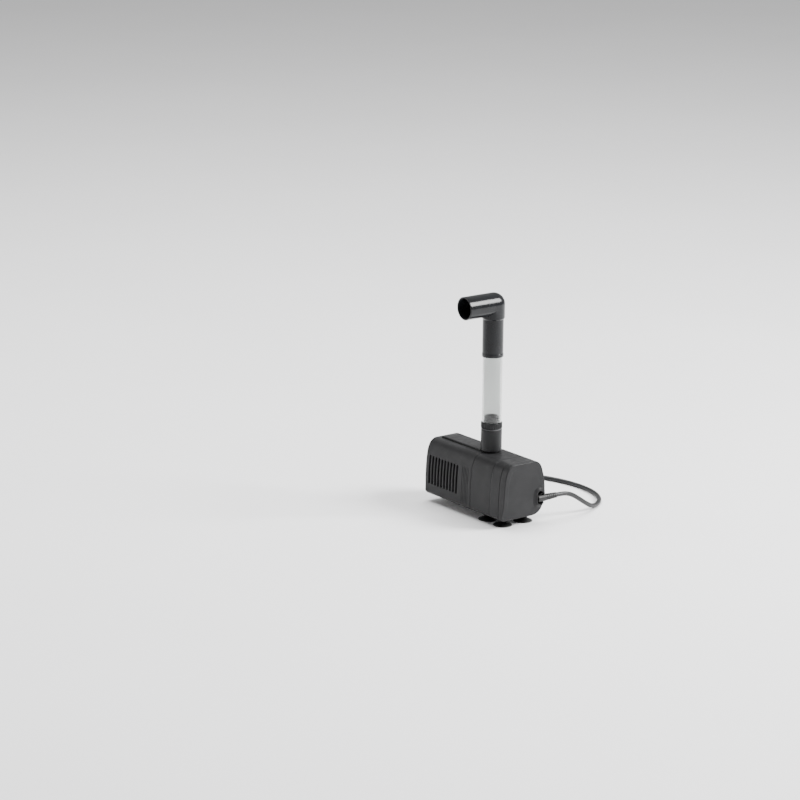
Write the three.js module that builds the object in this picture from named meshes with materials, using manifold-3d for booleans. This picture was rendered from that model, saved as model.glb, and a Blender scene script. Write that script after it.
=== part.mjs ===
// Internal power filter: a submersible motor head lying on four suction cups, a slotted filter case in front
// of it, and an outlet that rises through a clear pipe to a swivelling elbow. Millimetres, +Z up.
// X runs across the filter, +Y runs from the cable end to the intake end, and the riser pipe stands along Z.
// Everything is drawn about the foot of the riser axis and moved at the end, so that the origin is at the
// middle of the filter's base, on the surface that it stands on.
import * as THREE from 'three';
import { mergeVertices } from 'three/addons/utils/BufferGeometryUtils.js';
import Module from 'manifold-3d';

const wasm = await Module();
wasm.setup();

// ---- Driving dimensions -------------------------------------------------------------------------------
const GAP = 0.3; // between pieces that touch
const BODY = { halfWidth: 26.2, bottom: 8.5, top: 66, rear: -54.6, capSeam: -46, seam: 0, front: 76, wall: 2.4 };
const AXIS_Z = 42; // height of the rotor axis
const CUP = { x: 12.9, y: [-36.7, -12.4], radius: 9.5, stem: 2.6, stemTop: 8.9 };
const WELL = { outer: 8.6, inner: 7.2, closedEnd: -40.6, bottom: -39.2 };
const BULKHEAD = { rear: -12, front: -9 };
const SHAFT = { radius: 1.3, rear: -38.7, front: 14.1 };
const ROTOR = { radius: 6.4, bore: 1.65, rear: -35.8, front: -13.6 };
const IMPELLER = { hub: 4.2, radius: 13.5, blades: 6, bladeThickness: 1.1, front: 2.2 };
const CORE = { rear: -36, front: -17, yokeBottom: 16, yokeTop: 24, legInner: 12.9, legOuter: 20.4, top: 52 };
const COIL = { halfLength: 11.1, halfDepth: 13.1, bottom: 12, top: 28 };
const HEAD = { outer: 19, inner: 17, rear: -6.4, front: 8, flange: 3, neck: 8.6, neckBore: 5.6 };
const COLUMN = { radius: 10.65, bore: 7.8, bottom: 66.3, top: 89.3 };
const NOZZLE = { outer: 11, inner: 9.5, front: 15 };
const WINDOW = { inner: 4.7, outer: 9, halfAngle: Math.PI / 4 };
const DIAL = { inner: 11.4, outer: 13.2, rear: 9, front: 17.1, tab: 18.5 };
const SPINE = { halfWidth: 9.8, top: 68, front: 70 };
const SLOT = { width: 2.6, pitch: 5, first: 22, count: 10, bottom: 20, top: 50 };
const FOAM = { rear: 20.5, front: 73.2, bore: 11, boreEnd: 60 };
const COLLAR = { radius: 10.75, bottom: 90.7, top: 96.6, flutes: 30, bore: 5.6 };
const BARB = { radius: 7.6, tip: 8, top: 103.2 };
const SPIGOT = { radius: 7.5, bottom: 79 };
const TUBE = { outer: 9.8, inner: 8.3, bottom: 96.9, top: 184.2 };
const ELBOW = { leg: 10.6, socket: 10, legBottom: 164.6, socketEnd: 184.5, bore: 8.3, axisZ: 217.8 };
const SPOUT = { outer: 11.7, inner: 10.2, reach: 36.6 };
const GLAND = { x: 19.7, z: 27.5, halfWidth: 5.1, halfHeight: 8.15, wall: 1.2, proud: 1.5, floor: -48.8 };
const RELIEF = { y: -53, z: 26, root: 3.9, tip: 3, start: 17, end: 42 };
const CORD = { radius: 2.3, sides: 8 };
const RING = { x: 70, y: 80, inner: 17.8, outer: 37.3, height: 9.4 };
const TIE = { width: 8, thickness: 0.9, angle: 150 };
const PLUG = {
  x: 79.5, y: 58.9, turn: -31, width: 26, length: 34, thickness: 13.7, pinRadius: 2, pinLength: 19, pinSpacing: 19,
};

// ---- Solids -------------------------------------------------------------------------------------------
// A closed geometry as a solid: shared vertices merged, collapsed triangles dropped, faces turned outwards.
function toSolid(geometry) {
  const bare = geometry.clone();
  bare.deleteAttribute('normal');
  bare.deleteAttribute('uv');
  const merged = mergeVertices(bare, 1e-4);
  const points = merged.attributes.position;
  const index = merged.index.array;
  const corner = [new THREE.Vector3(), new THREE.Vector3(), new THREE.Vector3()];
  const triangles = [];
  let volume = 0;
  for (let i = 0; i < index.length; i += 3) {
    const [a, b, c] = [index[i], index[i + 1], index[i + 2]];
    if (a === b || b === c || c === a) continue;
    triangles.push(a, b, c);
    [a, b, c].forEach((v, k) => corner[k].fromBufferAttribute(points, v));
    volume += corner[0].dot(corner[1].cross(corner[2]));
  }
  if (volume < 0) triangles.reverse();
  const vertProperties = Float32Array.from(points.array);
  const triVerts = Uint32Array.from(triangles);
  return new wasm.Manifold(new wasm.Mesh({ numProp: 3, vertProperties, triVerts }));
}

function toGeometry(solid) {
  const mesh = solid.getMesh();
  const geometry = new THREE.BufferGeometry();
  geometry.setAttribute('position', new THREE.BufferAttribute(mesh.vertProperties, 3));
  geometry.setIndex(new THREE.BufferAttribute(mesh.triVerts, 1));
  geometry.computeVertexNormals();
  return geometry;
}

// An outline drawn in X and Z, made solid from y0 to y1.
function prismY(shape, y0, y1, curveSegments = 6) {
  const geometry = new THREE.ExtrudeGeometry(shape, { depth: y1 - y0, bevelEnabled: false, curveSegments });
  return toSolid(geometry.rotateX(Math.PI / 2).translate(0, y1, 0));
}

// An outline drawn in X and Y, made solid from z0 to z1.
function prismZ(shape, z0, z1, curveSegments = 6) {
  const geometry = new THREE.ExtrudeGeometry(shape, { depth: z1 - z0, bevelEnabled: false, curveSegments });
  return toSolid(geometry.translate(0, 0, z0));
}

function box(x0, y0, z0, x1, y1, z1) {
  const geometry = new THREE.BoxGeometry(x1 - x0, y1 - y0, z1 - z0);
  return toSolid(geometry.translate((x0 + x1) / 2, (y0 + y1) / 2, (z0 + z1) / 2));
}

// A profile of [radius, height] pairs turned about an axis. It starts and ends on the axis, or is closed.
function lathe(profile, segments) {
  const points = profile.map(([radius, height]) => new THREE.Vector2(radius, height));
  return new THREE.LatheGeometry(points, segments);
}

function turnX(profile, y, z, segments = 32) {
  return toSolid(lathe(profile, segments).rotateZ(-Math.PI / 2).translate(0, y, z));
}

function turnY(profile, segments = 32, x = 0, z = AXIS_Z) {
  return toSolid(lathe(profile, segments).translate(x, 0, z));
}

function turnZ(profile, x = 0, y = 0, segments = 40) {
  return toSolid(lathe(profile, segments).rotateX(Math.PI / 2).translate(x, y, 0));
}

const rod = (radius, from, to) => [[0, from], [radius, from], [radius, to], [0, to]];
const sleeve = (inner, outer, from, to) => [
  [inner, from], [outer, from], [outer, to], [inner, to], [inner, from],
];

// The body's cross-section in X and Z, scaled about its middle so that each side moves in by the inset.
// The lower left edge is a small chamfer, and the lower right edge a large round.
function bodyShape(inset = 0) {
  const middle = (BODY.top + BODY.bottom) / 2;
  const across = (BODY.halfWidth - inset) / BODY.halfWidth;
  const up = (BODY.top - middle - inset) / (BODY.top - middle);
  const at = (x, z) => [x * across, middle + (z - middle) * up];
  const shape = new THREE.Shape();
  shape.moveTo(...at(-23.6, 8.5));
  shape.lineTo(...at(13, 8.5));
  shape.quadraticCurveTo(...at(23, 8.5), ...at(24.8, 19));
  shape.bezierCurveTo(...at(26.7, 29), ...at(27.1, 43), ...at(23.4, 54));
  shape.quadraticCurveTo(...at(20.6, 66), ...at(12, 66));
  shape.lineTo(...at(-12, 66));
  shape.quadraticCurveTo(...at(-20.8, 66), ...at(-23.6, 54));
  shape.bezierCurveTo(...at(-25.6, 44), ...at(-26.2, 32), ...at(-26.2, 11.2));
  shape.closePath();
  return shape;
}

// The body's cross-section made solid from y0 to y1 with a rounded rim at the end that faces outwards.
function roundedEnd(y0, y1, round, outwards) {
  const spare = 3 * round;
  const geometry = new THREE.ExtrudeGeometry(bodyShape(), {
    depth: y1 - y0, bevelThickness: round, bevelSize: round, bevelOffset: -round, bevelSegments: 3,
    curveSegments: 6,
  });
  const shift = outwards < 0 ? y1 + round : y1 - round;
  const solid = toSolid(geometry.rotateX(Math.PI / 2).translate(0, shift, 0));
  const cut = outwards < 0 ? [y1, y1 + spare] : [y0 - spare, y0];
  return solid.subtract(box(-40, cut[0], 0, 40, cut[1], 80));
}

function stadium(x, z, halfWidth, halfHeight) {
  const straight = halfHeight - halfWidth;
  const shape = new THREE.Shape();
  shape.absarc(x, z + straight, halfWidth, 0, Math.PI, false);
  shape.absarc(x, z - straight, halfWidth, Math.PI, 2 * Math.PI, false);
  shape.closePath();
  return shape;
}

function roundedRectangle(x0, z0, x1, z1, radius) {
  const shape = new THREE.Shape();
  shape.absarc(x1 - radius, z0 + radius, radius, -Math.PI / 2, 0, false);
  shape.absarc(x1 - radius, z1 - radius, radius, 0, Math.PI / 2, false);
  shape.absarc(x0 + radius, z1 - radius, radius, Math.PI / 2, Math.PI, false);
  shape.absarc(x0 + radius, z0 + radius, radius, Math.PI, 1.5 * Math.PI, false);
  shape.closePath();
  return shape;
}

// Two opposite ring sectors about the rotor axis, the shape of the intake's windows.
function windowSolids(y0, y1) {
  const sector = (middle) => {
    const shape = new THREE.Shape();
    shape.absarc(0, AXIS_Z, WINDOW.outer, middle - WINDOW.halfAngle, middle + WINDOW.halfAngle, false);
    shape.absarc(0, AXIS_Z, WINDOW.inner, middle + WINDOW.halfAngle, middle - WINDOW.halfAngle, true);
    shape.closePath();
    return prismY(shape, y0, y1);
  };
  return sector(0).add(sector(Math.PI));
}

// ---- Motor head ---------------------------------------------------------------------------------------
const cupPlaces = CUP.y.flatMap((y) => [[-CUP.x, y], [CUP.x, y]]);

function motorHousing() {
  const inner = bodyShape(BODY.wall);
  let solid = prismY(bodyShape(), BODY.capSeam + GAP / 2, BODY.seam - GAP / 2);
  solid = solid.subtract(prismY(inner, BODY.capSeam - 1, BULKHEAD.rear));
  solid = solid.subtract(prismY(inner, BULKHEAD.front, BODY.seam + 1));
  solid = solid.add(turnY(rod(WELL.outer, WELL.closedEnd, BULKHEAD.rear + 1)));
  solid = solid.subtract(turnY(rod(WELL.inner, WELL.bottom, BULKHEAD.front + 1)));
  solid = solid.subtract(turnZ(rod(HEAD.neck + 0.4, BODY.top - 6, BODY.top + 6)));
  for (const [x, y] of cupPlaces) {
    solid = solid.add(turnZ(rod(5, 4.6, BODY.bottom + 1), x, y, 20));
    solid = solid.subtract(turnZ(rod(CUP.stem + GAP, 4, BODY.bottom + 0.8), x, y, 20));
  }
  return solid;
}

// The rear face is upright above and turns under towards the base.
function rearProfile() {
  const shape = new THREE.Shape();
  shape.moveTo(BODY.capSeam + 10, 0);
  shape.lineTo(BODY.capSeam + 10, 80);
  shape.lineTo(BODY.rear, 80);
  shape.lineTo(BODY.rear, 34);
  shape.quadraticCurveTo(BODY.rear, 16, BODY.rear + 4.6, BODY.bottom);
  shape.lineTo(BODY.rear + 4.6, 0);
  shape.closePath();
  return shape;
}

function endCap() {
  const front = BODY.capSeam - GAP / 2;
  const profile = new THREE.ExtrudeGeometry(rearProfile(), { depth: 80, bevelEnabled: false });
  const turned = new THREE.Matrix4().makeBasis(
    new THREE.Vector3(0, 1, 0), new THREE.Vector3(0, 0, 1), new THREE.Vector3(1, 0, 0),
  );
  const side = toSolid(profile.applyMatrix4(turned).translate(-40, 0, 0));
  let solid = roundedEnd(BODY.rear, front, 2.2, -1).intersect(side);
  const oval = stadium(GLAND.x, GLAND.z, GLAND.halfWidth, GLAND.halfHeight);
  solid = solid.add(prismY(oval, BODY.rear - GLAND.proud, front - 1));
  solid = solid.subtract(prismY(roundedRectangle(-21, 16, 8, 60, 4), BODY.rear + 3, front + 1));
  solid = solid.subtract(prismY(roundedRectangle(4, 40, 18, 60, 4), BODY.rear + 3, front + 1));
  const pocket = stadium(GLAND.x, GLAND.z, GLAND.halfWidth - GLAND.wall, GLAND.halfHeight - GLAND.wall);
  solid = solid.subtract(prismY(pocket, BODY.rear - 5, GLAND.floor));
  const channel = RELIEF.root + GAP;
  solid = solid.subtract(
    box(GLAND.x, BODY.rear - 5, RELIEF.z - channel, 30, GLAND.floor, RELIEF.z + channel),
  );
  return solid.subtract(turnY(rod(3, GLAND.floor - 1, front + 1), 16, GLAND.x, RELIEF.z));
}

function pottingResin() {
  const slab = prismY(bodyShape(BODY.wall + GAP), BODY.capSeam + 0.5, WELL.closedEnd - 0.6);
  return slab.subtract(turnY(rod(3, BODY.capSeam - 1, WELL.closedEnd), 16, GLAND.x, RELIEF.z));
}

// A laminated U: a yoke that carries the coil, and two legs whose poles bend round the rotor well.
function statorCore() {
  const pole = WELL.outer + GAP;
  const open = Math.PI / 3;
  const shape = new THREE.Shape();
  shape.moveTo(-CORE.legOuter, CORE.yokeBottom);
  shape.lineTo(CORE.legOuter, CORE.yokeBottom);
  shape.lineTo(CORE.legOuter, CORE.top);
  shape.lineTo(6, CORE.top);
  shape.absarc(0, AXIS_Z, pole, open, -open, true);
  shape.lineTo(CORE.legInner, 31);
  shape.lineTo(CORE.legInner, CORE.yokeTop);
  shape.lineTo(-CORE.legInner, CORE.yokeTop);
  shape.lineTo(-CORE.legInner, 31);
  shape.absarc(0, AXIS_Z, pole, Math.PI + open, Math.PI - open, true);
  shape.lineTo(-6, CORE.top);
  shape.lineTo(-CORE.legOuter, CORE.top);
  shape.closePath();
  return prismY(shape, CORE.rear, CORE.front, 10);
}

const yokeMiddle = (CORE.rear + CORE.front) / 2;

function boxAroundYoke(halfLength, margin) {
  return box(
    -halfLength, CORE.rear - margin, CORE.yokeBottom - margin,
    halfLength, CORE.front + margin, CORE.yokeTop + margin,
  );
}

function coilBobbin() {
  let solid = boxAroundYoke(COIL.halfLength + 1, GAP + 0.8);
  for (const side of [-1, 1]) {
    const x = side * (COIL.halfLength + 0.8);
    const depth = COIL.halfDepth + 0.4;
    solid = solid.add(
      box(x - 0.5, yokeMiddle - depth, COIL.bottom - 0.6, x + 0.5, yokeMiddle + depth, COIL.top + 0.6),
    );
  }
  return solid.subtract(boxAroundYoke(COIL.halfLength + 3, GAP));
}

function statorCoil() {
  const outline = roundedRectangle(
    yokeMiddle - COIL.halfDepth, COIL.bottom, yokeMiddle + COIL.halfDepth, COIL.top, 3,
  );
  const geometry = new THREE.ExtrudeGeometry(outline, {
    depth: 2 * (COIL.halfLength - GAP), bevelEnabled: false, curveSegments: 3,
  });
  const turned = new THREE.Matrix4().makeBasis(
    new THREE.Vector3(0, 1, 0), new THREE.Vector3(0, 0, 1), new THREE.Vector3(1, 0, 0),
  );
  const block = toSolid(geometry.applyMatrix4(turned).translate(GAP - COIL.halfLength, 0, 0));
  return block.subtract(boxAroundYoke(COIL.halfLength + 3, 2 * GAP + 0.8));
}

// ---- Rotor --------------------------------------------------------------------------------------------
const rotorShaft = () => turnY(rod(SHAFT.radius, SHAFT.rear, SHAFT.front), 16);
const rotorMagnet = () => turnY(sleeve(ROTOR.bore, ROTOR.radius, ROTOR.rear, ROTOR.front), 28);
const bushBore = SHAFT.radius + 0.25;
const rearBush = () => turnY(sleeve(bushBore, WELL.inner - GAP, WELL.bottom + GAP, ROTOR.rear - 0.5), 20);
const frontBush = () => turnY(sleeve(bushBore, 2.9, 10.2, 14.2), 16);

function impeller() {
  let solid = turnY(rod(IMPELLER.hub, ROTOR.front + GAP, IMPELLER.front + 0.8), 24);
  solid = solid.add(turnY(rod(IMPELLER.radius, -7.4, -6.2), 36));
  for (let blade = 0; blade < IMPELLER.blades; blade += 1) {
    const geometry = new THREE.BoxGeometry(IMPELLER.radius - 3.6, IMPELLER.front + 6.6, IMPELLER.bladeThickness);
    geometry.translate((IMPELLER.radius + 3) / 2, (IMPELLER.front - 6.6) / 2, 0);
    geometry.rotateY((2 * Math.PI * blade) / IMPELLER.blades).translate(0, 0, AXIS_Z);
    solid = solid.add(toSolid(geometry));
  }
  return solid.subtract(turnY(rod(ROTOR.bore, ROTOR.front - 1, IMPELLER.front + 2), 16));
}

// ---- Pump head ----------------------------------------------------------------------------------------
function ringSection(middle, radius, height) {
  const points = [];
  for (let step = 0; step <= 8; step += 1) {
    const turn = (2 * Math.PI * step) / 8;
    points.push([middle + radius * Math.cos(turn), height + radius * Math.sin(turn)]);
  }
  return points;
}

const headSeal = () => turnY(ringSection(20.1, 1, -7.7), 36);

// The impeller chamber, its flange, and the outlet column that rises from it.
function pumpHead() {
  let solid = turnY(rod(HEAD.outer, HEAD.rear, HEAD.front), 40);
  solid = solid.add(prismY(bodyShape(BODY.wall + 0.5), HEAD.rear, HEAD.rear + HEAD.flange));
  solid = solid.add(turnZ(rod(HEAD.neck, AXIS_Z + 8, COLUMN.bottom + 1)));
  solid = solid.add(turnZ(rod(COLUMN.radius, COLUMN.bottom, COLUMN.top)));
  solid = solid.subtract(box(-15, BULKHEAD.rear, 0, 15, HEAD.rear, COLUMN.bottom));
  solid = solid.subtract(turnY(rod(HEAD.inner, HEAD.rear - 1, HEAD.front + 1), 40));
  solid = solid.subtract(turnZ(rod(HEAD.neckBore, AXIS_Z + 4, COLUMN.bottom + 4)));
  return solid.subtract(turnZ(rod(COLUMN.bore, COLUMN.bottom + 3, COLUMN.top + 1)));
}

function impellerCover() {
  let solid = turnY(rod(HEAD.inner - GAP, 4.4, 7.4), 40);
  solid = solid.add(turnY(rod(NOZZLE.outer, 7, NOZZLE.front)));
  solid = solid.subtract(turnY(rod(NOZZLE.inner, 3, NOZZLE.front - 2.4)));
  solid = solid.add(turnY(rod(4.2, 9.8, NOZZLE.front - 1), 20));
  solid = solid.subtract(turnY(rod(3.2, 9, 14.4), 20));
  return solid.subtract(windowSolids(NOZZLE.front - 4, NOZZLE.front + 1));
}

// A cap that turns on the intake and closes its windows.
function flowDial() {
  let solid = turnY(rod(DIAL.outer, DIAL.rear, DIAL.front));
  solid = solid.add(box(-2.2, 12, AXIS_Z + 12, 2.2, DIAL.front, AXIS_Z + DIAL.tab));
  solid = solid.subtract(turnY(rod(DIAL.inner, DIAL.rear - 1, NOZZLE.front + GAP)));
  return solid.subtract(windowSolids(NOZZLE.front - 1, DIAL.front + 1));
}

// ---- Filter case --------------------------------------------------------------------------------------
function filterCase() {
  let solid = roundedEnd(BODY.seam + GAP / 2, BODY.front, 2.2, 1);
  solid = solid.add(
    box(-SPINE.halfWidth, BODY.seam + GAP / 2, BODY.top - 1.4, SPINE.halfWidth, SPINE.front, SPINE.top),
  );
  solid = solid.subtract(prismY(bodyShape(BODY.wall), BODY.seam - 1, BODY.front - BODY.wall));
  solid = solid.subtract(turnZ(rod(HEAD.neck + 0.4, BODY.top - 6, BODY.top + 6)));
  solid = solid.subtract(turnZ(rod(COLUMN.radius + 0.4, BODY.top + 0.1, BODY.top + 6)));
  for (let slot = 0; slot < SLOT.count; slot += 1) {
    const y = SLOT.first + slot * SLOT.pitch;
    solid = solid.subtract(box(-30, y, SLOT.bottom, 30, y + SLOT.width, SLOT.top));
  }
  for (let slot = -3; slot <= 3; slot += 1) {
    const x = slot * SLOT.pitch;
    const half = SLOT.width / 2;
    solid = solid.subtract(box(x - half, BODY.front - 4, SLOT.bottom, x + half, BODY.front + 1, SLOT.top + 4));
  }
  return solid;
}

function foamCartridge() {
  const block = prismY(bodyShape(BODY.wall + 0.5), FOAM.rear, FOAM.front);
  return block.subtract(turnY(rod(FOAM.bore, FOAM.rear - 1, FOAM.boreEnd), 24));
}

// ---- Feet ---------------------------------------------------------------------------------------------
function suctionCup(x, y) {
  const profile = [
    [0, 2], [4, 1.8], [8.6, 0], [CUP.radius, 0], [CUP.radius, 0.7], [5.4, 2.6],
    [CUP.stem, 4], [CUP.stem, CUP.stemTop], [0, CUP.stemTop],
  ];
  return turnZ(profile, x, y, 28);
}

// ---- Riser --------------------------------------------------------------------------------------------
const collarWasher = () => turnZ(sleeve(8.1, 10.4, COLUMN.top + GAP, COLLAR.bottom - GAP));
const riserTube = () => turnZ(sleeve(TUBE.inner, TUBE.outer, TUBE.bottom, TUBE.top));

function flutedShape() {
  const shape = new THREE.Shape();
  for (let step = 0; step < 2 * COLLAR.flutes; step += 1) {
    const turn = (Math.PI * step) / COLLAR.flutes;
    const radius = step % 2 ? COLLAR.radius - 0.6 : COLLAR.radius;
    shape[step ? 'lineTo' : 'moveTo'](radius * Math.cos(turn), radius * Math.sin(turn));
  }
  shape.closePath();
  return shape;
}

function riserAdapter() {
  const stem = turnZ([
    [0, SPIGOT.bottom], [SPIGOT.radius - 0.6, SPIGOT.bottom], [SPIGOT.radius, SPIGOT.bottom + 1],
    [SPIGOT.radius, COLLAR.bottom + 1], [BARB.radius, COLLAR.top - 1], [BARB.radius, COLLAR.top + 3],
    [BARB.tip, COLLAR.top + 3.3], [BARB.radius - 0.5, BARB.top], [0, BARB.top],
  ]);
  const collar = prismZ(flutedShape(), COLLAR.bottom, COLLAR.top);
  return stem.add(collar).subtract(turnZ(rod(COLLAR.bore, SPIGOT.bottom - 1, BARB.top + 1), 0, 0, 24));
}

function outletElbow() {
  const round = 8;
  const top = ELBOW.axisZ + SPOUT.outer - 0.2;
  const leg = [[0, ELBOW.legBottom], [ELBOW.leg, ELBOW.legBottom], [ELBOW.leg, top - round]];
  for (let step = 1; step <= 5; step += 1) {
    const turn = (Math.PI / 2) * (step / 5);
    leg.push([ELBOW.leg - round + round * Math.cos(turn), top - round + round * Math.sin(turn)]);
  }
  leg.push([0, top]);
  let solid = turnZ(leg);
  solid = solid.add(turnX(rod(SPOUT.outer, -SPOUT.reach, 0), 0, ELBOW.axisZ, 40));
  solid = solid.subtract(turnX(rod(SPOUT.inner, -SPOUT.reach - 1, -2), 0, ELBOW.axisZ, 40));
  solid = solid.subtract(turnZ(rod(ELBOW.bore, ELBOW.socketEnd - 1, ELBOW.axisZ + 2)));
  return solid.subtract(turnZ(rod(ELBOW.socket, ELBOW.legBottom - 1, ELBOW.socketEnd)));
}

// ---- Power cord ---------------------------------------------------------------------------------------
// A moulded rubber piece: a root in the gland, a stub through the end cap, and a tail that tapers along +X.
function strainRelief() {
  const tail = [
    [0, RELIEF.start], [RELIEF.root, RELIEF.start], [RELIEF.root, 27], [RELIEF.tip, RELIEF.end],
    [0, RELIEF.end],
  ];
  const stub = turnY(rod(2.6, RELIEF.y, BODY.capSeam + 3), 16, GLAND.x, RELIEF.z);
  return turnX(tail, RELIEF.y, RELIEF.z, 16).add(stub);
}

// The free stretch, from the strain relief down to the surface and round to the coil.
const CORD_ROUTE = [
  [42.3, -53, 26], [48, -53, 25.9], [54, -53, 25.3], [60.5, -52.9, 23.4], [67.5, -52.6, 19.8],
  [75, -52, 14.9], [83, -50.8, 9.7], [91, -48.6, 5.4], [99, -45.2, 3], [107, -40.4, 2.35],
  [115, -33.6, 2.3], [122, -24.6, 2.3], [127.6, -13.4, 2.3], [131.2, 0.4, 2.3], [132.4, 16, 2.3],
  [131, 32.4, 2.3], [127.2, 49, 2.3], [121, 64.6, 2.3], [113.4, 79, 2.3], [110.6, 83.4, 2.3],
];
// The short end that turns in over the coil's upper turns and goes into the plug, which lies on the coil.
const TAIL_ROUTE = [
  [56.6, 48.1, 12], [63.1, 47.4, 12.1], [71, 49.7, 13.4], [76.1, 53.9, 15.6], [79.1, 58.3, 16.5],
];

function cordTube(route, steps) {
  const path = new THREE.CatmullRomCurve3(route.map((point) => new THREE.Vector3(...point)));
  const section = new THREE.Shape();
  for (let side = 0; side < CORD.sides; side += 1) {
    const turn = (2 * Math.PI * side) / CORD.sides;
    section[side ? 'lineTo' : 'moveTo'](CORD.radius * Math.cos(turn), CORD.radius * Math.sin(turn));
  }
  section.closePath();
  return toSolid(new THREE.ExtrudeGeometry(section, { steps, extrudePath: path, bevelEnabled: false }));
}

// A band round the coil's section, standing across the ring at one angle.
function acrossCoil(margin, halfWidth) {
  const geometry = new THREE.BoxGeometry(
    RING.outer - RING.inner + 2 * margin, 2 * halfWidth, RING.height + 2 * margin,
  );
  geometry.translate((RING.inner + RING.outer) / 2, 0, RING.height / 2);
  return toSolid(geometry.rotateZ(THREE.MathUtils.degToRad(TIE.angle)).translate(RING.x, RING.y, 0));
}

const tieInset = -TIE.thickness;

function cordTie() {
  return acrossCoil(0, TIE.width / 2).subtract(acrossCoil(tieInset, TIE.width));
}

function cordCoil() {
  const edge = 1.5;
  const ring = turnZ([
    [RING.inner + edge, 0], [RING.outer - edge, 0], [RING.outer, edge], [RING.outer, RING.height - edge],
    [RING.outer - edge, RING.height], [RING.inner + edge, RING.height], [RING.inner, RING.height - edge],
    [RING.inner, edge], [RING.inner + edge, 0],
  ], RING.x, RING.y, 36);
  const waist = acrossCoil(1, TIE.width / 2 + GAP).subtract(acrossCoil(tieInset - GAP, TIE.width));
  return ring.subtract(waist);
}

// ---- Plug ---------------------------------------------------------------------------------------------
// Drawn with its cord entry at the origin and its pins along +Y, lying on its flat side on the coil.
function placePlug(solid) {
  const turned = toGeometry(solid).rotateZ(THREE.MathUtils.degToRad(PLUG.turn));
  return toSolid(turned.translate(PLUG.x, PLUG.y, RING.height + GAP));
}

function plugBody() {
  const half = PLUG.width / 2;
  const shape = new THREE.Shape();
  shape.moveTo(-3.6, 0);
  shape.lineTo(3.6, 0);
  shape.bezierCurveTo(5, 8, half - 4, 8, half - 1, 16);
  shape.lineTo(half, PLUG.length);
  shape.lineTo(-half, PLUG.length);
  shape.lineTo(1 - half, 16);
  shape.bezierCurveTo(4 - half, 8, -5, 8, -3.6, 0);
  return placePlug(prismZ(shape, 0, PLUG.thickness));
}

function plugPin(side) {
  const from = PLUG.length + GAP;
  const tip = from + PLUG.pinLength;
  const profile = [[0, from], [PLUG.pinRadius, from], [PLUG.pinRadius, tip - 1], [1, tip], [0, tip]];
  return placePlug(turnY(profile, 14, (side * PLUG.pinSpacing) / 2, PLUG.thickness / 2));
}

// ---- Finishes -----------------------------------------------------------------------------------------
const finish = (color, roughness, metalness = 0) => ({ color, roughness, metalness });
const BODY_PLASTIC = finish(0x3a3a3b, 0.5);
const CASE_PLASTIC = finish(0x414142, 0.5);
const GLOSS_PLASTIC = finish(0x1f2022, 0.2);
const INNER_PLASTIC = finish(0x55575a, 0.55);
const RUBBER = finish(0x121213, 0.7);
const SEAL_RUBBER = finish(0x6f7072, 0.7);
const CORD_PVC = finish(0x2b2b2c, 0.5);
const CLEAR = { ...finish(0xdfe3e2, 0.08), transparent: true, opacity: 0.35 };
const STEEL = finish(0x8b8d90, 0.45, 0.9);
const COPPER = finish(0xb4683a, 0.35, 0.9);
const NICKEL = finish(0xb9bbbd, 0.25, 1);
const RESIN = finish(0x17181a, 0.35);
const CERAMIC = finish(0xe9e6dd, 0.3);
const FERRITE = finish(0x3c3a38, 0.6, 0.2);
const FOAM_GREY = finish(0x2a2b2c, 0.95);

const pieces = {
  motor_housing: [motorHousing(), BODY_PLASTIC],
  end_cap: [endCap(), BODY_PLASTIC],
  potting_resin: [pottingResin(), RESIN],
  stator_core: [statorCore(), STEEL],
  coil_bobbin: [coilBobbin(), CERAMIC],
  stator_coil: [statorCoil(), COPPER],
  rotor_shaft: [rotorShaft(), CERAMIC],
  rotor_magnet: [rotorMagnet(), FERRITE],
  rear_bush: [rearBush(), RUBBER],
  front_bush: [frontBush(), RUBBER],
  impeller: [impeller(), INNER_PLASTIC],
  head_seal: [headSeal(), RUBBER],
  pump_head: [pumpHead(), BODY_PLASTIC],
  impeller_cover: [impellerCover(), INNER_PLASTIC],
  flow_dial: [flowDial(), INNER_PLASTIC],
  filter_case: [filterCase(), CASE_PLASTIC],
  foam_cartridge: [foamCartridge(), FOAM_GREY],
  collar_washer: [collarWasher(), SEAL_RUBBER],
  riser_adapter: [riserAdapter(), BODY_PLASTIC],
  riser_tube: [riserTube(), CLEAR],
  outlet_elbow: [outletElbow(), GLOSS_PLASTIC],
  strain_relief: [strainRelief(), RUBBER],
  power_cord: [cordTube(CORD_ROUTE, 36), CORD_PVC],
  cord_coil: [cordCoil(), CORD_PVC],
  cord_tail: [cordTube(TAIL_ROUTE, 5), CORD_PVC],
  cord_tie: [cordTie(), RUBBER],
  plug_body: [plugBody(), CORD_PVC],
  plug_pin_1: [plugPin(-1), NICKEL],
  plug_pin_2: [plugPin(1), NICKEL],
};
cupPlaces.forEach(([x, y], place) => {
  pieces[`suction_cup_${place + 1}`] = [suctionCup(x, y), RUBBER];
});

// ---- Assembly -----------------------------------------------------------------------------------------
const filter = new THREE.Group();
for (const [name, [solid, look]] of Object.entries(pieces)) {
  const mesh = new THREE.Mesh(toGeometry(solid), new THREE.MeshStandardMaterial(look));
  mesh.name = name;
  filter.add(mesh);
}
const middleX = (BODY.halfWidth - SPOUT.reach) / 2;
const middleY = (BODY.rear - GLAND.proud + BODY.front) / 2;
filter.position.set(-middleX, -middleY, 0);

const assembly = new THREE.Group();
assembly.add(filter);

export default assembly;
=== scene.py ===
from math import atan2, copysign, cos, pi, radians, sin, sqrt

import bmesh
import bpy
from mathutils import Matrix, Vector, noise


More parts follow.
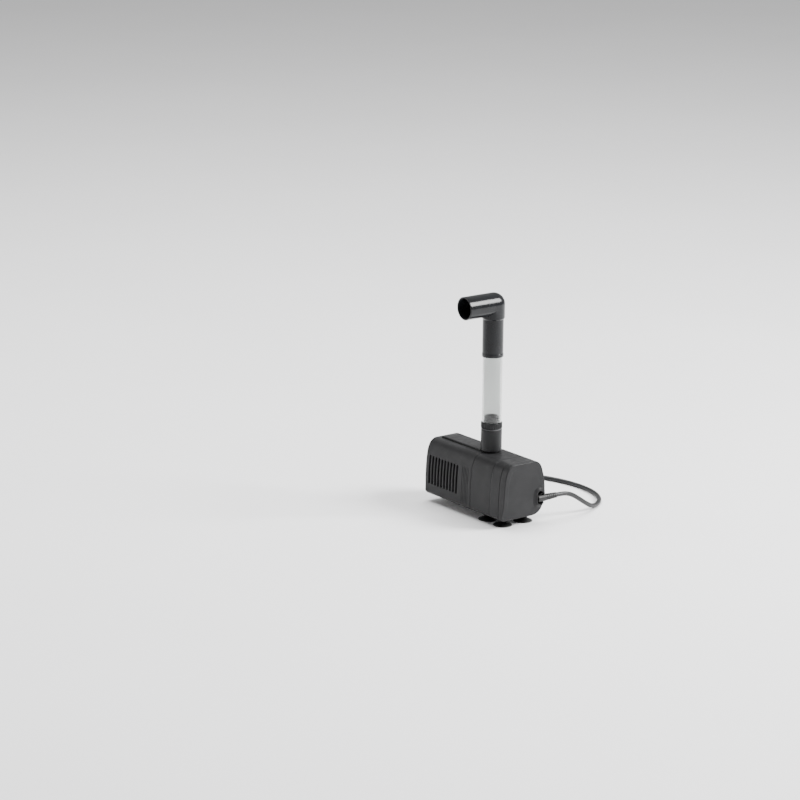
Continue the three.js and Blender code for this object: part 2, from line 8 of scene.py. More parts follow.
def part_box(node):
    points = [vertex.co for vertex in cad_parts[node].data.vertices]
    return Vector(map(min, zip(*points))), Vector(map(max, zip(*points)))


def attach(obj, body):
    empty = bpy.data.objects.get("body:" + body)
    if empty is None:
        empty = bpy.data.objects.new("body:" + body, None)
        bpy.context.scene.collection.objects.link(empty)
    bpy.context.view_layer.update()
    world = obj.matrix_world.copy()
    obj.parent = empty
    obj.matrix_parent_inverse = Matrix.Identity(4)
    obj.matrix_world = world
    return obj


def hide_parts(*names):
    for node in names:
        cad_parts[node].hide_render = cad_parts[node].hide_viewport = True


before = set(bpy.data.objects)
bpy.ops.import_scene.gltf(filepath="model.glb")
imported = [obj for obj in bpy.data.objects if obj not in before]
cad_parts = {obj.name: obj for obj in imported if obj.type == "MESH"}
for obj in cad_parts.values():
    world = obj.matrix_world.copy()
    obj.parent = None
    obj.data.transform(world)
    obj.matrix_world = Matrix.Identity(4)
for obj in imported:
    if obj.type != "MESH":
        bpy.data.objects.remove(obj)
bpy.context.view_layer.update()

# An internal power filter: a motor head on suction cups, a slotted filter case, and a clear riser pipe
# with an outlet elbow.
MM = 0.001
tube_low, tube_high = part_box("riser_tube")
AXIS = Vector(((tube_low.x + tube_high.x) / 2, (tube_low.y + tube_high.y) / 2, 0))
TO_FRAME = Matrix.Translation(AXIS) @ Matrix.Scale(MM, 4)


def place(x, y, z):
    """A point given in millimetres, in the frame."""
    return AXIS + Vector((x, y, z)) * MM


def span(node):
    """A CAD node's lowest and highest corner, in millimetres from the foot of the riser's axis."""
    low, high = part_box(node)
    return (low - AXIS) / MM, (high - AXIS) / MM


HOUSING, CAP, CASE = span("motor_housing"), span("end_cap"), span("filter_case")
FOAM, WASHER, TUBE = span("foam_cartridge"), span("collar_washer"), span("riser_tube")
ADAPTER, ELBOW, RING = span("riser_adapter"), span("outlet_elbow"), span("cord_coil")
HEAD, DIAL, COVER = span("pump_head"), span("flow_dial"), span("impeller_cover")
HALF_WIDTH, TOP, BOTTOM = -HOUSING[0].x, HOUSING[1].z, CASE[0].z
MIDDLE = (TOP + BOTTOM) / 2
WALL = 2.4  # of every moulded shell
ROTOR_Z = (COVER[0].z + COVER[1].z) / 2
ON_ROTOR = {"axis": "Y", "centre": (0, ROTOR_Z)}
COLUMN, COLUMN_BORE = 10.65, 5.6  # the outlet column's radius and that of the water's way through it
NECK_ROOM = 9  # radius of the hole in the shells for the column's neck


# ---- Shapes ----
def bezier(points, steps):
    """Points along a Bezier curve of any degree, without its last one."""
    found = []
    for step in range(steps):
        level = [Vector(point) for point in points]
        while len(level) > 1:
            level = [a.lerp(b, step / steps) for a, b in zip(level, level[1:])]
        found.append(level[0])
    return found


def body_outline():
    """The body's section in X and Z: a small chamfer at the lower left, a large round at the right."""
    return (
        bezier([(-22.9, 8.5), (13, 8.5)], 8)
        + bezier([(13, 8.5), (23, 8.5), (24.8, 19)], 12)
        + bezier([(24.8, 19), (26.7, 29), (27.1, 43), (23.4, 54)], 20)
        + bezier([(23.4, 54), (20.6, 66), (12, 66)], 14)
        + bezier([(12, 66), (-12, 66)], 8)
        + bezier([(-12, 66), (-20.8, 66), (-23.6, 54)], 14)
        + bezier([(-23.6, 54), (-25.6, 44), (-26.2, 32), (-26.2, 12)], 20)
        + bezier([(-26.2, 12), (-26.2, 11.2), (-25.6, 10.6)], 3)
        + bezier([(-25.6, 10.6), (-24.3, 9.2)], 1)
        + bezier([(-24.3, 9.2), (-23.6, 8.5), (-22.9, 8.5)], 3)
    )


BODY = body_outline()


def body_ring(y, inset=0.0, dent=None):
    """The body's section at y, moved in by inset, and by dent(x, y, z) along each point's normal."""
    ring = []
    for k, point in enumerate(BODY):
        x = point.x * (1 - inset / HALF_WIDTH)
        z = MIDDLE + (point.y - MIDDLE) * (1 - inset / (TOP - MIDDLE))
        if dent:
            along = BODY[(k + 1) % len(BODY)] - BODY[k - 1]
            outwards = Vector((along.y, -along.x)).normalized()
            depth = dent(x, y, z)
            x, z = x - outwards.x * depth, z - outwards.y * depth
        ring.append((x, y, z))
    return ring


def side_x(z, side):
    """Where the body's side is at a height: side is 1 on the right, -1 on the left."""
    points = [p for p in BODY if p.x * side > 12.5 and p.y > 11]
    points.sort(key=lambda p: p.y)
    for a, b in zip(points, points[1:]):
        if a.y <= z <= b.y:
            return a.x + (b.x - a.x) * (z - a.y) / max(b.y - a.y, 1e-6)
    return points[-1].x


def soften(profile, radius, closed):
    """The profile with each corner replaced by a small round. An open profile keeps its ends."""
    found, count = [], len(profile)
    for k, corner in enumerate(profile):
        here = Vector(corner)
        if not closed and k in (0, count - 1):
            found.append(here)
            continue
        before, after = Vector(profile[k - 1]), Vector(profile[(k + 1) % count])
        to_before, to_after = before - here, after - here
        reach = min(radius, 0.45 * to_before.length, 0.45 * to_after.length)
        a = here + to_before.normalized() * reach
        b = here + to_after.normalized() * reach
        found += bezier([a, here, b], 4) + [b]
    return found


def quarter(radius, steps):
    """A quarter round from a flank to a face, as (how far in from the flank, how far below the face)."""
    turns = [pi / 2 * k / steps for k in range(steps + 1)]
    return [(radius * (1 - cos(t)), radius * (1 - sin(t))) for t in turns]


def mend(mesh, distance):
    """Merges points closer than a distance, removes slivers and turns the faces outwards.
    A face that folds back on itself shows up as two faces with the same corners, and both go."""
    made = bmesh.new()
    made.from_mesh(mesh)
    bmesh.ops.remove_doubles(made, verts=made.verts, dist=distance)
    bmesh.ops.dissolve_degenerate(made, edges=made.edges, dist=distance)
    many_sided = [face for face in made.faces if len(face.verts) > 4]
    bmesh.ops.triangulate(made, faces=many_sided)
    by_corners = {}
    for face in made.faces:
        by_corners.setdefault(frozenset(face.verts), []).append(face)
    doubled = [face for same in by_corners.values() if len(same) > 1 for face in same]
    bmesh.ops.delete(made, geom=doubled, context="FACES")
    bmesh.ops.recalc_face_normals(made, faces=made.faces)
    made.to_mesh(mesh)
    made.free()


def new_object(name, data):
    made = bpy.data.objects.new(name, data)
    bpy.context.scene.collection.objects.link(made)
    return made


def mesh_object(name, vertices, faces):
    """A closed mesh in millimetres."""
    mesh = bpy.data.meshes.new(name)
    mesh.from_pydata([tuple(v) for v in vertices], [], faces)
    mend(mesh, 1e-4)
    return new_object(name, mesh)


def loft(name, rings, closed=False):
    """Rings of equally many points joined in a row, with flat ends, or joined into a loop."""
    count = len(rings[0])
    vertices = [point for ring in rings for point in ring]
    faces = []
    for k in range(len(rings) - (0 if closed else 1)):
        a, b = k * count, ((k + 1) % len(rings)) * count
        faces += [(a + i, a + (i + 1) % count, b + (i + 1) % count, b + i) for i in range(count)]
    if not closed:
        last = (len(rings) - 1) * count
        faces += [tuple(reversed(range(count))), tuple(range(last, last + count))]
    return mesh_object(name, vertices, faces)


def turned(name, profile, axis="Z", centre=(0, 0), segments=96, radius=0.3, shape=None):
    """A profile of (radius, height) turned about an axis through centre, with its corners rounded.
    It is a closed loop, or starts and ends on the axis. shape(r, height, angle) may change a radius."""
    closed = profile[0][0] > 0
    points = soften(profile, radius, closed) if radius else [Vector(p) for p in profile]
    rings = []
    for r, height in points:
        ring = []
        for k in range(segments):
            angle = 2 * pi * k / segments
            reach = shape(r, height, angle) if shape else r
            a, b = centre[0] + reach * cos(angle), centre[1] + reach * sin(angle)
            ring.append({"X": (height, a, b), "Y": (a, height, b), "Z": (a, b, height)}[axis])
        rings.append(ring)
    return loft(name, rings, closed)


def rounded_outline(half_x, half_y, radius, grow=0.0, steps=6, rise=1):
    """A rectangle with round corners about the origin, grown outwards. Its upright sides are
    subdivided, or its level ones if rise is 0."""
    half_x, half_y, radius = half_x + grow, half_y + grow, radius + grow
    found = []
    for corner, (sx, sy) in enumerate([(1, 1), (-1, 1), (-1, -1), (1, -1)]):
        for step in range(steps + 1):
            angle = pi / 2 * (corner + step / steps)
            found.append(Vector((
                sx * (half_x - radius) + radius * cos(angle),
                sy * (half_y - radius) + radius * sin(angle),
            )))
        if corner % 2 == rise:
            start = found[-1]
            end = Vector((-start.x, start.y)) if rise == 0 else Vector((start.x, -start.y))
            found += [start.lerp(end, k / 8) for k in range(1, 8)]
    return found


def combine(target, tool, operation):
    """Joins the tool to the target, or cuts it away, and removes the tool."""
    modifier = target.modifiers.new("combine", "BOOLEAN")
    modifier.operation, modifier.solver, modifier.object = operation, "MANIFOLD", tool
    bpy.context.view_layer.update()
    evaluated = target.evaluated_get(bpy.context.evaluated_depsgraph_get())
    mesh = bpy.data.meshes.new_from_object(evaluated)
    if not len(mesh.polygons):
        raise RuntimeError(f"{tool.name} left nothing of {target.name}")
    target.modifiers.clear()
    target.data = mesh
    bpy.data.objects.remove(tool)


def cut(target, *tools):
    for tool in tools:
        combine(target, tool, "DIFFERENCE")


def join(target, *tools):
    for tool in tools:
        combine(target, tool, "UNION")


MEND_DISTANCE = 2e-3  # slivers that a boolean leaves are smaller than this


def finish(piece, body, slot, *nodes, sharp=38):
    """Moves a piece from millimetres into the frame, smooths it, gives it its body and material,
    and hides the CAD nodes that it stands in for."""
    mend(piece.data, MEND_DISTANCE)
    piece.data.transform(TO_FRAME)
    piece.data.materials.clear()
    piece.data.materials.append(MATERIALS[slot])
    piece.data.shade_smooth()
    piece.data.set_sharp_from_angle(angle=radians(sharp))
    weighted = piece.modifiers.new("normals", "WEIGHTED_NORMAL")
    weighted.keep_sharp = True
    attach(piece, body)
    if nodes:
        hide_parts(*nodes)
    return piece


def smoothstep(low, high, value):
    """0 up to low, 1 from high, and a smooth rise between them."""
    share = min(1.0, max(0.0, (value - low) / (high - low)))
    return share * share * (3 - 2 * share)


# ---- Materials ----
def set_inputs(node, **values):
    """Sets a node's sockets by name, with _ for each space."""
    for socket, value in values.items():
        node.inputs[socket.replace("_", " ")].default_value = value
    return node


class Finish:
    """A material with one principled shader, and short ways to add procedural nodes to it."""

    def __init__(self, name, colour, roughness, **sockets):
        self.material = bpy.data.materials.new(name)
        self.material.use_nodes = True
        self.nodes, self.links = self.material.node_tree.nodes, self.material.node_tree.links
        self.shader = self.nodes["Principled BSDF"]
        self.colour, self.roughness = colour, roughness
        set_inputs(self.shader, Base_Color=(*colour, 1), Roughness=roughness, **sockets)
        self.place = self.nodes.new("ShaderNodeTexCoord").outputs["Object"]

    def node(self, kind, at=None, **inputs):
        """A new node, with coordinates linked if it takes any."""
        made = set_inputs(self.nodes.new("ShaderNode" + kind), **inputs)
        if "Vector" in made.inputs:
            self.links.new(at or self.place, made.inputs["Vector"])
        return made

    def stretched(self, scale):
        """Coordinates scaled on each axis, for streaks."""
        return self.node("Mapping", Scale=scale).outputs["Vector"]

    def noise(self, size, detail=3, at=None):
        """Noise whose features are about size millimetres across."""
        return self.node("TexNoise", at, Scale=1 / (size * MM), Detail=detail).outputs["Fac"]

    def cells(self, size):
        """Rounded cells about size millimetres across."""
        return self.node("TexVoronoi", Scale=1 / (size * MM)).outputs["Distance"]

    def bands(self, pitch, direction="Z"):
        """Slightly wavy bands, with the pitch in millimetres."""
        node = self.node("TexWave", Scale=1 / (pitch * MM * pi), Distortion=0.4)
        node.bands_direction = direction
        return node.outputs["Fac"]

    def remap(self, value, low, high, start=0.35, end=0.65):
        """From low to high as the value goes from start to end."""
        node = self.nodes.new("ShaderNodeMapRange")
        set_inputs(node, From_Min=start, From_Max=end, To_Min=low, To_Max=high)
        self.links.new(value, node.inputs["Value"])
        return node.outputs["Result"]

    def tint(self, value, dark, light, start=0.35, end=0.65):
        """The base colour goes from dark to light times itself with value."""
        ramp = self.nodes.new("ShaderNodeValToRGB")
        for element, position, factor in zip(ramp.color_ramp.elements, (start, end), (dark, light)):
            element.position = position
            element.color = (*[min(1, c * factor) for c in self.colour], 1)
        self.links.new(value, ramp.inputs["Fac"])
        self.links.new(ramp.outputs["Color"], self.shader.inputs["Base Color"])

    def rough(self, value, spread):
        """Roughness that varies by spread on both sides of the material's own."""
        self.links.new(
            self.remap(value, self.roughness - spread, self.roughness + spread),
            self.shader.inputs["Roughness"],
        )

    def bump(self, value, depth, strength=1.0):
        """Relief of about depth millimetres, on top of any that was added before."""
        node = set_inputs(self.nodes.new("ShaderNodeBump"), Strength=strength, Distance=depth * MM)
        self.links.new(value, node.inputs["Height"])
        before = self.shader.inputs["Normal"]
        if before.is_linked:
            self.links.new(before.links[0].from_socket, node.inputs["Normal"])
        self.links.new(node.outputs["Normal"], before)


def moulded(name, colour, roughness, grain=0.35, depth=0.03, mottle=0.1, **sockets):
    """Moulded plastic: a fine spark-eroded texture, with slow changes of colour and gloss."""
    made = Finish(name, colour, roughness, **sockets)
    made.tint(made.noise(18, 4), 1 - mottle, 1 + mottle)
    made.rough(made.noise(6, 5), 0.05)
    made.bump(made.noise(9, 2), 0.03, 0.35)
    made.bump(made.noise(grain, 2), depth, 0.5)
    return made.material


def glossy_black():
    made = Finish("glossy_black", (0.006, 0.0065, 0.0075), 0.19, Specular_IOR_Level=0.22)
    made.tint(made.noise(12, 3), 0.85, 1.2)
    made.rough(made.noise(2.5, 6, made.stretched((1, 6, 6))), 0.045)
    made.bump(made.noise(5, 2), 0.03, 0.4)
    return made.material


def clear_acrylic():
    made = Finish("clear_acrylic", (0.54, 0.555, 0.545), 0.03, Transmission_Weight=1.0, IOR=1.49)
    made.tint(made.noise(25, 2), 0.98, 1.02)
    made.rough(made.noise(4, 4, made.stretched((1, 1, 0.08))), 0.02)
    made.bump(made.noise(3, 2, made.stretched((1, 1, 0.05))), 0.01, 0.3)
    return made.material


def soft_rubber(name, colour, roughness):
    made = Finish(name, colour, roughness, Specular_IOR_Level=0.35)
    made.tint(made.noise(7, 4), 0.8, 1.3)
    made.rough(made.noise(3, 4), 0.07)
    made.bump(made.noise(0.5, 3), 0.03, 0.5)
    return made.material


def cord_sheath():
    made = Finish("cord_sheath", (0.011, 0.011, 0.0115), 0.4, Specular_IOR_Level=0.35)
    made.tint(made.noise(9, 3), 0.8, 1.25)
    made.rough(made.noise(1.5, 4), 0.06)
    made.bump(made.noise(1.2, 3), 0.04, 0.4)
    return made.material


def open_foam():
    made = Finish("open_foam", (0.035, 0.036, 0.038), 0.95, Sheen_Weight=0.2)
    pores = made.cells(1.1)
    # The pores are painted darker than the strands round them: painted shade in the hollows.
    made.tint(pores, 0.15, 1.7, 0.1, 0.6)
    made.bump(pores, 0.5, 0.9)
    made.bump(made.noise(0.4, 3), 0.15, 0.6)
    return made.material


def woven_strap():
    made = Finish("woven_strap", (0.008, 0.008, 0.009), 0.85, Sheen_Weight=0.12)
    weave = made.nodes.new("ShaderNodeMath")
    weave.operation = "MULTIPLY"
    made.links.new(made.bands(0.9, "DIAGONAL"), weave.inputs[0])
    made.links.new(made.bands(0.7, "Z"), weave.inputs[1])
    # The weave's sunk parts are painted darker: painted shade in its grooves.
    made.tint(weave.outputs["Value"], 0.5, 1.8, 0.05, 0.7)
    made.bump(weave.outputs["Value"], 0.18, 0.8)
    return made.material


def plated_metal():
    made = Finish("nickel", (0.72, 0.71, 0.68), 0.2, Metallic=1.0)
    made.tint(made.noise(3, 3), 0.92, 1.05)
    made.rough(made.noise(0.8, 5, made.stretched((1, 1, 7))), 0.06)
    made.bump(made.noise(0.4, 3, made.stretched((1, 1, 9))), 0.008, 0.4)
    return made.material


def striped(name, colour, roughness, pitch, direction, depth, **sockets):
    """Laminations or turns of wire: fine ridges a pitch apart."""
    made = Finish(name, colour, roughness, **sockets)
    lines = made.bands(pitch, direction)
    # The grooves between the ridges are painted darker: painted shade.
    made.tint(lines, 0.5, 1.15, 0.1, 0.6)
    made.bump(lines, depth)
    return made.material


MATERIALS = {  # by the record's slot
    "body_plastic": moulded("body_plastic", (0.0165, 0.0165, 0.0172), 0.36, Specular_IOR_Level=0.12),
    "case_plastic": moulded("case_plastic", (0.018, 0.018, 0.0187), 0.38, Specular_IOR_Level=0.12),
    "inner_plastic": moulded("inner_plastic", (0.07, 0.073, 0.077), 0.48),
    "gloss_black": glossy_black(),
    "clear_acrylic": clear_acrylic(),
    "rubber": soft_rubber("black_rubber", (0.006, 0.006, 0.006), 0.5),
    # The seal is a real part. Its light grey is painted highlight: it draws the thin light line along the
    # seam between the column and the collar.
    "seal_rubber": soft_rubber("seal_grey_painted_highlight", (0.085, 0.085, 0.088), 0.55),
    "cord_pvc": cord_sheath(),
    "foam": open_foam(),
    "tie_fabric": woven_strap(),
    "nickel": plated_metal(),
    "ceramic": moulded("polished_ceramic", (0.8, 0.78, 0.72), 0.25, 0.3, 0.005, 0.03),
    "ferrite": moulded("moulded_ferrite", (0.05, 0.047, 0.045), 0.6, 0.5, 0.06),
    "resin": moulded("potting_resin", (0.01, 0.01, 0.012), 0.2, 1.5, 0.05),
    "bobbin_nylon": moulded("natural_nylon", (0.75, 0.72, 0.65), 0.45),
    "core_steel": striped("laminated_steel", (0.36, 0.36, 0.38), 0.42, 0.5, "Y", 0.05, Metallic=0.9),
    "copper": striped("copper_winding", (0.72, 0.3, 0.14), 0.3, 0.35, "X", 0.08, Metallic=0.9),
}


# ---- Motor head ----
EDGE = 0.4  # the small round along the rim of a moulded shell


def shell_stations(rear, front):
    """The rounded rims at both ends of a shell, as (y, inset)."""
    rim = quarter(EDGE, 3)
    return [(rear + y, inset) for inset, y in rim], [(front - y, inset) for inset, y in rim]


def cylinder(name, radius, start, end, axis="Z", centre=(0, 0), segments=72):
    return turned(name, [(0, start), (radius, start), (radius, end), (0, end)], axis, centre, segments, 0)


def cuboid(name, low, high):
    corners = ((low[0], low[1]), (high[0], low[1]), (high[0], high[1]), (low[0], high[1]))
    return loft(name, [[(x, y, low[2]) for x, y in corners], [(x, y, high[2]) for x, y in corners]])


CUPS = [span(f"suction_cup_{k}") for k in range(1, 5)]
CUP_PLACES = [((low.x + high.x) / 2, (low.y + high.y) / 2) for low, high in CUPS]
CUP_BOSS, CUP_HOLE = (4.6, 5.0, 5.6), 2.9  # a boss's low end and two radii, and the radius of its hole
BULKHEAD = (-12, -9)
BAND_Y = -32  # a soft line round the motor head, over the windings' end
WELL, WELL_END = (8.6, 7.2), (-40.6, -39.2)  # the rotor's well, outside and inside


def motor_housing():
    rear, front = HOUSING[0].y, HOUSING[1].y
    first, last = shell_stations(rear, front)
    band = [(BAND_Y + 0.3 * k, 0.22 * cos(pi * k / 6) ** 2) for k in range(-3, 4)]
    stations = [*first, (rear + 4, 0), (BAND_Y - 5, 0), *band, (BAND_Y + 5, 0), (-8, 0), *last]
    stations.sort()
    shell = loft("motor_housing_shell", [body_ring(y, inset) for y, inset in stations])
    foot, narrow, wide = CUP_BOSS
    join(shell, *[
        turned(
            "boss", [(0, foot), (narrow, foot), (wide, BOTTOM + 1), (0, BOTTOM + 1)], "Z", cup, 48, 0.5,
        )
        for cup in CUP_PLACES
    ])
    cut(
        shell,
        loft("rear_cavity", [body_ring(rear - 1, WALL), body_ring(BULKHEAD[0], WALL)]),
        loft("front_cavity", [body_ring(BULKHEAD[1], WALL), body_ring(front + 1, WALL)]),
    )
    join(shell, cylinder("well", WELL[0], WELL_END[0], BULKHEAD[0] + 1, **ON_ROTOR))
    cut(
        shell,
        cylinder("well_bore", WELL[1], WELL_END[1], BULKHEAD[1] + 1, **ON_ROTOR),
        cylinder("neck_room", NECK_ROOM, TOP - 6, TOP + 6),
        loft("panel", [
            [(x, BAND_Y + 7.5 + y, BOTTOM + depth) for x, y in rounded_outline(4.6, 9.5, 1.5, grow, 5)]
            for depth, grow in ((-1, 0.3), (0, 0.3), (0.3, 0))
        ]),
        *[cylinder("stem_hole", CUP_HOLE, 3, BOTTOM + 0.8, "Z", cup, 40) for cup in CUP_PLACES],
    )
    finish(shell, "pump", "body_plastic", "motor_housing")


CAP_REAR, CAP_ROUND = -54.6, 0.85
CAP_BEND, CAP_TURNED = 34.0, 4.6  # the height below which the rear face turns under, and how far
GLAND = Vector((19.7, 27.5))  # its middle in X and Z
GLAND_HALF, MOUTH_HALF = (5.1, 8.15), (3.9, 6.95)
RELIEF, CHANNEL = Vector((-53, 26)), 4.2  # the strain relief's axis in Y and Z, and its channel's radius
PANEL_INSET, PANEL_SUNK = 5.6, 0.1


def cap_depth(z):
    """How far the rear face has turned under at a height."""
    share = min(1.0, max(0.0, (CAP_BEND - z) / (CAP_BEND - BOTTOM)))
    return CAP_TURNED * share**2.2


def oval(y, half, grow=0.0):
    """The gland's upright oval at y."""
    return [(GLAND.x + p.x, y, GLAND.y + p.y) for p in rounded_outline(*half, half[0], grow, 12)]


def end_cap():
    """The rear cap: a sunk panel, a gland with a soft skirt, and a channel for the strain relief."""
    front, rear, face = CAP[1].y, CAP_REAR, CAP[0].y
    deep = front - rear
    stations = sorted((y / deep, inset) for inset, y in quarter(EDGE, 7)[::3])
    stations += [(0.35, 0), (0.6, 0)]
    stations += [(1 - y / deep, inset) for inset, y in quarter(CAP_ROUND, 7)]

    def ring(share, inset, sunk=0.0):
        found = []
        for x, _, z in body_ring(0, inset):
            back = rear + cap_depth(z) - front
            found.append((x, front + back * share + sunk * smoothstep(16, 26, z), z))
        return found

    rings = [ring(share, inset) for share, inset in stations]
    panel = [(1.6, 0), (4.6, 0), (4.9, 0.03), (5.3, 0.09), (PANEL_INSET, PANEL_SUNK)]
    rings += [ring(1, inset, sunk) for inset, sunk in panel]
    rings += [
        ring(1, PANEL_INSET + (HALF_WIDTH - PANEL_INSET) * k / 12, PANEL_SUNK) for k in range(1, 12)
    ]
    middle = sum((Vector(p) for p in rings[-1]), Vector()) / len(rings[-1])
    rings.append([tuple(middle)] * len(BODY))
    shell = loft("end_cap_shell", rings)
    skirt = []
    for grow, rise in ((2.7, -0.5), (2.7, 0.04), (1.9, 0.3), (1.0, 0.75), (0.35, 1.1)):
        skirt.append([
            (min(x, side_x(z, 1) - 0.4), max(rear + cap_depth(z) - rise, face + 0.4), z)
            for x, _, z in oval(0, GLAND_HALF, grow)
        ])
    boss = [oval(face + sunk, GLAND_HALF, -shrink) for shrink, sunk in quarter(0.35, 7)]
    join(
        shell,
        loft("gland", [oval(front - 1, GLAND_HALF), *boss]),
        loft("skirt", [oval(-52, GLAND_HALF), *skirt, oval(face + 0.4, (5, 8.05))]),
    )
    mouth = [
        oval(face + depth, MOUTH_HALF, grow)
        for depth, grow in ((-2, 0.35), (0, 0.35), (0.1, 0.12), (0.35, 0))
    ]
    channel = []
    for x in (GLAND.x, 30):
        floor = [
            (x, RELIEF.x + CHANNEL * cos(t), RELIEF.y + CHANNEL * sin(t))
            for t in (pi * (k / 12 - 0.5) for k in range(13))
        ]
        ends = [(x, RELIEF.x - 8, RELIEF.y + CHANNEL), (x, RELIEF.x - 8, RELIEF.y - CHANNEL)]
        channel.append([*floor, *ends])
    inside = [body_ring(front + 1, WALL)]
    inside += [
        [(x, rear + cap_depth(z) + left, z) for x, _, z in body_ring(0, WALL + inset)]
        for left, inset in ((3.6, 0), (2.4, 1.6))
    ]
    cut(
        shell,
        loft("inside", inside),
        loft("pocket", [*mouth, oval(-48.8, MOUTH_HALF)]),
        loft("channel", channel),
    )
    finish(shell, "pump", "body_plastic", "end_cap")


# ---- Pump head ----
def sector(name, inner, outer, start, end, y0, y1):
    """A ring sector about the rotor axis."""
    angles = [start + (end - start) * k / 16 for k in range(17)]
    outline = [(outer * cos(a), outer * sin(a)) for a in angles]
    outline += [(inner * cos(a), inner * sin(a)) for a in reversed(angles)]
    outline = soften(outline, 0.5, True)
    return loft(name, [[(x, y, ROTOR_Z + z) for x, z in outline] for y in (y0, y1)])


def windows(y0, y1):
    """Cutters for the intake's two windows."""
    inner, outer, half = 4.7, 9, pi / 4
    return [sector("window", inner, outer, m - half, m + half, y0, y1) for m in (0, pi)]


def pump_head():
    """The impeller chamber with its flange and webs, and the outlet column that stands on its neck."""
    rear, top = HEAD[0].y, HEAD[1].z
    inner, outer, front = 17, 19, 8
    halfway = (inner + outer) / 2  # tools that meet the chamber end inside its wall
    foot, shoulder, socket = 66.4, 67.9, 7.8
    chamber = turned(
        "pump_head_shell", [(inner, rear), (outer, rear), (outer, front), (inner, front)], **ON_ROTOR,
        segments=120, radius=0.4,
    )
    flange = loft("flange", [body_ring(rear, WALL + 0.5), body_ring(rear + 3, WALL + 0.5)])
    cut(flange, cylinder("chamber_room", halfway, rear - 1, rear + 4, **ON_ROTOR, segments=120))
    neck = cylinder("neck", 8.6, ROTOR_Z + 8, 67.5)
    cut(neck, cylinder("chamber_side", inner, -12, 12, **ON_ROTOR, segments=120))
    column = turned("column", [
        (COLUMN_BORE, foot), (9.7, foot), (9.7, shoulder - 0.5), (COLUMN, shoulder), (COLUMN, top),
        (socket, top), (socket, 69.3), (COLUMN_BORE, 69.3),
    ], segments=128, radius=0.35)
    join(chamber, flange, neck, column)
    for side in (-1, 1):
        web = cuboid("web", (side * 12 - 0.8, rear + 2, ROTOR_Z + 13), (side * 12 + 0.8, 7, ROTOR_Z + 21))
        cut(web, cylinder("web_round", halfway, -12, 12, **ON_ROTOR, segments=120))
        join(chamber, web)
    cut(
        chamber,
        cuboid("neck_cut", (-15, BULKHEAD[0], 0), (15, rear, 66.3)),
        cylinder("neck_bore", COLUMN_BORE, ROTOR_Z + 4, 70),
    )
    finish(chamber, "pump", "body_plastic", "pump_head")


def impeller_cover():
    rear, front = COVER[0].y, COVER[1].y
    profile = [
        (0, front), (11, front), (11, 7.4), (COVER[1].x, 7.4), (COVER[1].x, rear), (9.5, rear),
        (9.5, front - 2.4), (4.2, front - 2.4), (4.2, 9.8), (3.2, 9.8), (3.2, front - 0.6),
        (0, front - 0.6),
    ]
    cover = turned("impeller_cover_disc", profile, **ON_ROTOR)
    cut(cover, *windows(front - 4, front + 1))
    angles = [pi / 6 * k for k in range(12)]
    join(cover, *[sector("rib", 11.8, 15.6, a - 0.05, a + 0.05, 7.2, 8.2) for a in angles])
    finish(cover, "pump", "inner_plastic", "impeller_cover")


def flow_dial():
    rear, front, outer = DIAL[0].y, DIAL[1].y, DIAL[1].x

    def knurled(r, height, angle):
        """36 shallow grips round the cap's rim."""
        grip = 0.35 * (0.5 - 0.5 * cos(36 * angle)) * smoothstep(rear, rear + 1.2, height)
        return r - grip if r > outer - 0.5 else r

    profile = [(0, front), (outer, front), (outer, rear), (11.4, rear), (11.4, 15.3), (0, 15.3)]
    dial = turned("flow_dial_cap", profile, **ON_ROTOR, segments=288, radius=0.35, shape=knurled)
    cut(dial, *windows(14, front + 1))
    outline = rounded_outline(2.2, 3.2, 0.9, 0, 5)
    tab = loft("tab", [[(p.x, y, DIAL[1].z - 3.2 + p.y) for p in outline] for y in (12.2, front)])
    join(dial, tab)
    finish(dial, "dial", "inner_plastic", "flow_dial")


# ---- Filter case ----
CASE_ROUND = 2.2
SLOT = {"half": 1.3, "pitch": 5.0, "first": 23.3, "count": 10, "bottom": 20.0, "top": 50.0, "rim": 0.45}
FLUTES = {"start": 3.6, "pitch": 2.3, "count": 5, "depth": 0.38}


def flute_dent(x, y, z):
    """Shallow upright grips on both sides of the case, close to its open end."""
    turn = (y - FLUTES["start"]) / FLUTES["pitch"]
    if not 0 < turn < FLUTES["count"] or abs(x) < 18:
        return 0.0
    height = smoothstep(12, 16, z) * (1 - smoothstep(49, 53, z))
    return FLUTES["depth"] * (0.5 - 0.5 * cos(2 * pi * turn)) * height


def slot_outline(low, high, grow):
    """A slot's upright outline, as points across and up."""
    half, middle = SLOT["half"], (low + high) / 2
    return [Vector((p.x, middle + p.y)) for p in rounded_outline(half, (high - low) / 2, half, grow, 5)]


def slot_levels():
    """(depth, growth) down through a slot: above the surface, round its rim, and past the wall."""
    return [(-1.5, SLOT["rim"]), *quarter(SLOT["rim"], 3), (WALL + 2, 0)]


def side_slots():
    found = []
    for side in (-1, 1):
        for k in range(SLOT["count"]):
            y = SLOT["first"] + SLOT["pitch"] * k
            rings = []
            for depth, grow in slot_levels():
                outline = slot_outline(SLOT["bottom"], SLOT["top"], grow)
                rings.append([(side_x(p.y, side) - side * depth, y + p.x, p.y) for p in outline])
            found.append(loft("side_slot", rings))
    return found


def front_slots():
    found = []
    for k in range(-3, 4):
        rings = []
        for depth, grow in slot_levels():
            outline = slot_outline(SLOT["bottom"], SLOT["top"] + 4, grow)
            rings.append([(SLOT["pitch"] * k + p.x, CASE[1].y - depth, p.y) for p in outline])
        found.append(loft("front_slot", rings))
    return found


def spine():
    """The raised strip along the case's top, which slopes down at its far end."""
    half, top = 9.8, CASE[1].z
    stations = [
        (CASE[0].y, top - 0.25), (CASE[0].y + 0.25, top), (64, top), (66.5, top - 0.2),
        (68.6, top - 0.9), (70, top - 2.4),
    ]
    rings = []
    for y, height in stations:
        edge = soften([(-half, TOP - 1.6), (half, TOP - 1.6), (half, height), (-half, height)], 0.75, True)
        rings.append([(x, y, z) for x, z in edge])
    return loft("spine", rings)


